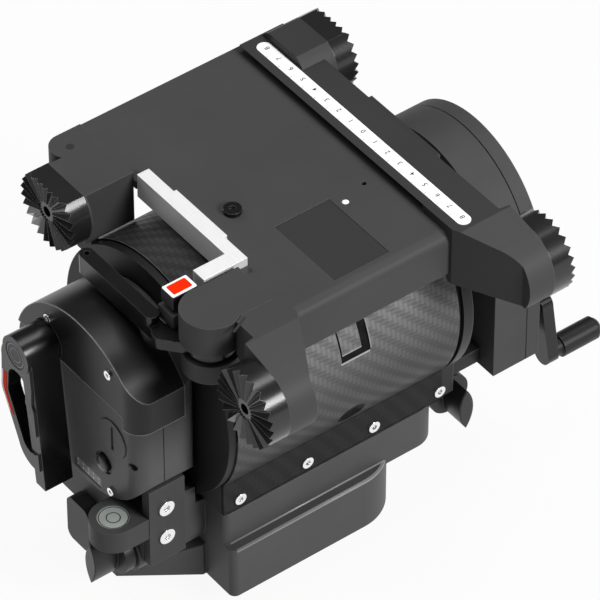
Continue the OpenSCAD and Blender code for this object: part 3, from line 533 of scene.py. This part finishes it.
def softPlate(mesh, centre, size, radius, right, up, thick, steps=6):  # flat plate with round corners
    half = (size[0] / 2, size[1] / 2)
    ring = []
    for i, (sx, sy) in enumerate(((1, 1), (-1, 1), (-1, -1), (1, -1))):
        for k in range(steps + 1):
            angle = math.radians(90 * (i + k / steps))
            ring.append((sx * (half[0] - radius) + radius * math.cos(angle),
                         sy * (half[1] - radius) + radius * math.sin(angle)))
    prism(mesh, ring, centre, right, up, thick)


def circle(mesh, middle, side, other, radius, steps):
    turns = [k * math.tau / steps for k in range(steps)]
    return [mesh.verts.new(middle + (side * math.cos(a) + other * math.sin(a)) * radius) for a in turns]


def turned(mesh, profile, centre, axis, steps=48):  # profile of (radius, height) turned about an axis
    axis = Vector(axis)
    side = axis.orthogonal().normalized()
    other = axis.cross(side)
    rings = []
    for radius, height in profile:
        middle = Vector(centre) + axis * height
        if radius == 0:
            rings.append([mesh.verts.new(middle)])
        else:
            rings.append(circle(mesh, middle, side, other, radius, steps))
    for first, second in zip(rings, rings[1:]):
        for k in range(steps):
            j = (k + 1) % steps
            corners = [ring[i % len(ring)] for ring, i in ((first, k), (first, j), (second, j), (second, k))]
            mesh.faces.new(list(dict.fromkeys(corners)))


def flatRing(mesh, inner, outer, proud, centre, axis, steps=48):
    turned(mesh, ((inner, 0), (inner, proud), (outer, proud), (outer, 0), (inner, 0)), centre, axis, steps)
    bmesh.ops.remove_doubles(mesh, verts=mesh.verts, dist=1e-4)  # closes the ring's seam


def flatDisc(mesh, radius, thick, centre, axis, steps=24):
    turned(mesh, ((0, 0), (radius, 0), (radius, thick), (0, thick)), centre, axis, steps)


def tube(mesh, path, radius, steps=10):  # round bead along a level path
    upward = Vector((0, 0, 1))
    rings = []
    for i, spot in enumerate(path):
        along = (Vector(path[min(i + 1, len(path) - 1)]) - Vector(path[max(i - 1, 0)])).normalized()
        rings.append(circle(mesh, Vector(spot), along.cross(upward), upward, radius, steps))
    for first, second in zip(rings, rings[1:]):
        for k in range(steps):
            j = (k + 1) % steps
            mesh.faces.new((first[k], first[j], second[j], second[k]))
    mesh.faces.new(rings[0])
    mesh.faces.new(rings[-1][::-1])


ruleMarks = {"height": 3.0, "bold": 0.03, "figureShift": 0.8, "step": 10.0, "last": 8, "tick": 0.2,
             "tickLen": 1.2, "tickInset": 0.3}


def printRule(look):  # centimetres from the middle
    middle, edge = faceOf("rule_strip", (0, 0, 1)), faceOf("rule_strip", (-1, 0, 1))
    mesh = bmesh.new()
    for k in range(-look["last"], look["last"] + 1):
        spot = middle + Vector((look["figureShift"], k * look["step"], 0))
        addText(mesh, str(abs(k)), look["height"], spot, (0, 1, 0), (-1, 0, 0), look["bold"])
    size = (look["tickLen"], look["tick"], inkLook["proud"])
    for k in range(-look["last"] * 2 + 1, look["last"] * 2, 2):  # half marks along the edge by the channel
        spot = edge + Vector((look["tickInset"] + look["tickLen"] / 2, k * look["step"] / 2, 0))
        slab(mesh, spot, size)
    addPiece("rule_marks", mesh, "ink_and_shade", "tilt_head")


printRule(ruleMarks)
print("rule marked")

safetyPlate = {"frame": (14.8, 9.6), "insert": (11.2, 6.8), "radius": 0.8, "thick": 0.25}


def dressSafety(look):  # white frame and red insert on the safety button
    for name, size, lift, finish in (("safety_frame", look["frame"], 0.0, "white_rule"),
                                     ("safety_insert", look["insert"], look["thick"], "red_plastic")):
        mesh = bmesh.new()
        spot = faceOf("safety_button", (0, 0, 1)) + Vector((0, 0, lift))
        softPlate(mesh, spot, size, look["radius"], (1, 0, 0), (0, 1, 0), look["thick"])
        addPiece(name, mesh, finish, "safety")


dressSafety(safetyPlate)

vialMarks = {"rings": ((3.3, 3.8), (7.3, 7.7)), "proud": 0.08}


def markVial(look):  # rings on the level's glass
    mesh = bmesh.new()
    for inner, outer in look["rings"]:
        flatRing(mesh, inner, outer, look["proud"], faceOf("level_vial", (0, 0, 1)), (0, 0, 1))
    addPiece("vial_rings", mesh, "ink_and_shade", "pan_head")


markVial(vialMarks)

scaleMarks = {"rows": (4.85, 1.85), "first": 2.45, "step": 4.4, "count": 5, "shift": 3, "last": 7,
              "height": 1.9}


def markScale(look):  # two rows of figures on the scale plate
    corner = faceOf("scale_plate", (-1, -1, -1))
    mesh = bmesh.new()
    for row, level in enumerate(look["rows"]):
        for k in range(look["count"]):
            figure = (k + row * look["shift"]) % (look["last"] + 1)
            spot = corner + Vector((0, look["first"] + k * look["step"], level))
            addText(mesh, str(figure), look["height"], spot, (0, -1, 0), (0, 0, 1))
    addPiece("scale_marks", mesh, "white_rule", "pan_head")


markScale(scaleMarks)

stripeLook = {"inset": 1.0, "proud": 0.12, "red": (-1.6, 1.4), "white": (1.4, 2.3), "lean": 0.25,
              "line": ((37.9, 5.0), (38.7, -5.0), (38.4, -7.6), (37.6, -9.8), (32.7, -20.4))}


def stripeLever(look):  # painted stripe down the brake lever's outer rim, its line given from the tilt axis
    face = faceOf("tilt_brake_lever", (-1, 0, 0)).x + look["inset"]
    for name, finish in (("red", "red_plastic"), ("white", "white_rule")):
        mesh = bmesh.new()
        inner, outer = [[(-(y + side), z + side * look["lean"]) for y, z in look["line"]]
                        for side in look[name]]
        prism(mesh, inner + outer[::-1], (face, 0, axisHeight), (0, -1, 0), (0, 0, 1), look["proud"])
        addPiece("lever_stripe_" + name, mesh, finish, "tilt_brake")


stripeLever(stripeLook)

hubRings = {"rings": ((6.4, 7.0), (3.9, 4.3)), "proud": 0.08}


def ringHub(look):  # raised rings on the lever's pivot cap
    mesh = bmesh.new()
    for inner, outer in look["rings"]:
        flatRing(mesh, inner, outer, look["proud"], faceOf("lever_cap", (-1, 0, 0)), (-1, 0, 0))
    addPiece("hub_rings", mesh, "grey_scale", "tilt_brake")


ringHub(hubRings)

bladeInset = {"arc": 22.5, "offset": 18.6, "share": 0.92, "proud": 0.2, "steps": 10,
              "knobs": (("pan_drag", (0, -1, 0), (-1, 0, 0)), ("tilt_drag", (1, 0, 0), (0, -1, 0)))}


def insetBlades(look):  # smooth lens set in the end of each drag knob
    reach = math.acos(look["offset"] / look["arc"]) * look["share"]
    angles = [reach * (2 * k / look["steps"] - 1) for k in range(look["steps"] + 1)]
    right = [(look["arc"] * math.cos(a) - look["offset"], look["arc"] * math.sin(a)) for a in angles]
    outline = right + [(-a, -b) for a, b in right]
    for body, across, out in look["knobs"]:
        mesh = bmesh.new()
        prism(mesh, outline, faceOf(body + "_knob", out), across, (0, 0, 1), look["proud"])
        addPiece(body + "_inset", mesh, "black_metal", body)


insetBlades(bladeInset)

buttonDome = {"radius": 4.7, "height": 0.9, "sink": 0.2, "rings": 6}


def domeButton(look):  # low dome on the light button
    mesh = bmesh.new()
    angles = [k * math.pi / 2 / look["rings"] for k in range(look["rings"])]
    dome = [(look["radius"] * math.cos(a), look["height"] * math.sin(a)) for a in angles]
    foot = [(0, -look["sink"]), (look["radius"], -look["sink"])]
    turned(mesh, foot + dome + [(0, look["height"])], faceOf("light_button", (-1, 0, 0)), (-1, 0, 0))
    addPiece("light_dome", mesh, "black_metal", "level_light", smooth=True)


domeButton(buttonDome)

ledgeBeads = {"ledge": 45.4, "left": -70.0, "step": 6.0, "cornerX": 12.0, "corner": 28.0,
              "upper": 0.6, "lower": 1.1, "lowerSink": 0.75, "upperLift": 0.5, "upperEnd": 0.6, "sweep": 62.0,
              "turns": 12}


def beadLedge(look):  # rounded lips along the casting's step, front and rear, light in tone as a painted highlight
    mesh = bmesh.new()
    side = faceOf("pan_housing", (0, 1, 0)).y
    sink = look["lower"] * look["lowerSink"]
    outer, bend, low = side - sink, look["corner"] - sink, look["ledge"] - sink
    high = look["ledge"] + look["upper"] * look["upperLift"]
    ends = (look["left"], look["cornerX"] + look["corner"] * look["upperEnd"])
    angles = [math.radians(look["sweep"] * k / look["turns"]) for k in range(look["turns"] + 1)]
    for way in (-1, 1):
        path = [(look["left"], way * outer, low)]
        for angle in angles:
            path.append((look["cornerX"] + bend * math.sin(angle),
                         way * (outer - bend + bend * math.cos(angle)), low))
        tube(mesh, path, look["lower"])
        tube(mesh, [(x, way * (side - look["step"]), high) for x in ends], look["upper"])
    addPiece("ledge_beads", mesh, "bead_highlight_paint", "pan_head", smooth=True)


beadLedge(ledgeBeads)

deckMarks = {"channelDepth": 5.0, "proud": 0.04, "slot": ((-70.7, -72.2), (-81.5, -77.3)), "slotHalf": 0.7,
             "hole": (-66.0, 80.0), "holeRadius": 2.2, "floorHole": (-46.3, -42.6), "floorRadius": 1.9,
             "pin": (22.2, -31.5), "pinSteps": 24,
             "pinProfile": ((0, -4.0), (1.9, -4.0), (1.9, -0.3), (1.5, -0.1), (0, -0.05))}


def markDeck(look):  # dark slot and holes as painted shade, and a white pin in the channel's floor
    top = faceOf("rule_strip", (0, 0, -1)).z  # the rule lies on the deck
    floor = top - look["channelDepth"]
    start, end = Vector(look["slot"][0]), Vector(look["slot"][1])
    half = (end - start).orthogonal().normalized() * look["slotHalf"]
    mesh = bmesh.new()
    prism(mesh, (start + half, end + half, end - half, start - half), (0, 0, top), (1, 0, 0), (0, 1, 0),
          look["proud"])
    flatDisc(mesh, look["holeRadius"], look["proud"], (*look["hole"], top), (0, 0, 1))
    flatDisc(mesh, look["floorRadius"], look["proud"], (*look["floorHole"], floor), (0, 0, 1))
    addPiece("deck_opening_shade", mesh, "ink_and_shade", "tilt_head")
    mesh = bmesh.new()
    turned(mesh, look["pinProfile"], (*look["pin"], floor), (0, 0, 1), look["pinSteps"])
    addPiece("deck_pin", mesh, "white_rule", "tilt_head", smooth=True)


markDeck(deckMarks)

armTab = {"offset": (-8.0, 14.5, 0.1), "radius": 7.0, "thick": 4.0, "steps": 16}


def hangTab(look):  # dark half round under the right rear arm
    turns = [math.pi + math.pi * k / look["steps"] for k in range(look["steps"] + 1)]
    outline = [(look["radius"] * math.cos(a), look["radius"] * math.sin(a)) for a in turns]
    mesh = bmesh.new()
    spot = faceOf("platform", (1, -1, -1)) + Vector(look["offset"])
    prism(mesh, outline, spot, (1, 0, 0), (0, 0, 1), look["thick"])
    addPiece("arm_tab", mesh, "black_plastic", "tilt_head")


hangTab(armTab)

screwRings = {"apart": 51.0, "rise": 40.0, "inner": 2.7, "outer": 3.7, "proud": 0.06, "steps": 32}


def ringScrews(look):  # dark rings round the hood's screws
    face = faceOf("left_hood", (-1, 0, 0)).x
    mesh = bmesh.new()
    for way in (1, -1):
        spot = (face, way * look["apart"] / 2, axisHeight + look["rise"])
        flatRing(mesh, look["inner"], look["outer"], look["proud"], spot, (-1, 0, 0), look["steps"])
    addPiece("hood_screw_rings", mesh, "ink_and_shade", "pan_head")


ringScrews(screwRings)
print("small marks and plates added")
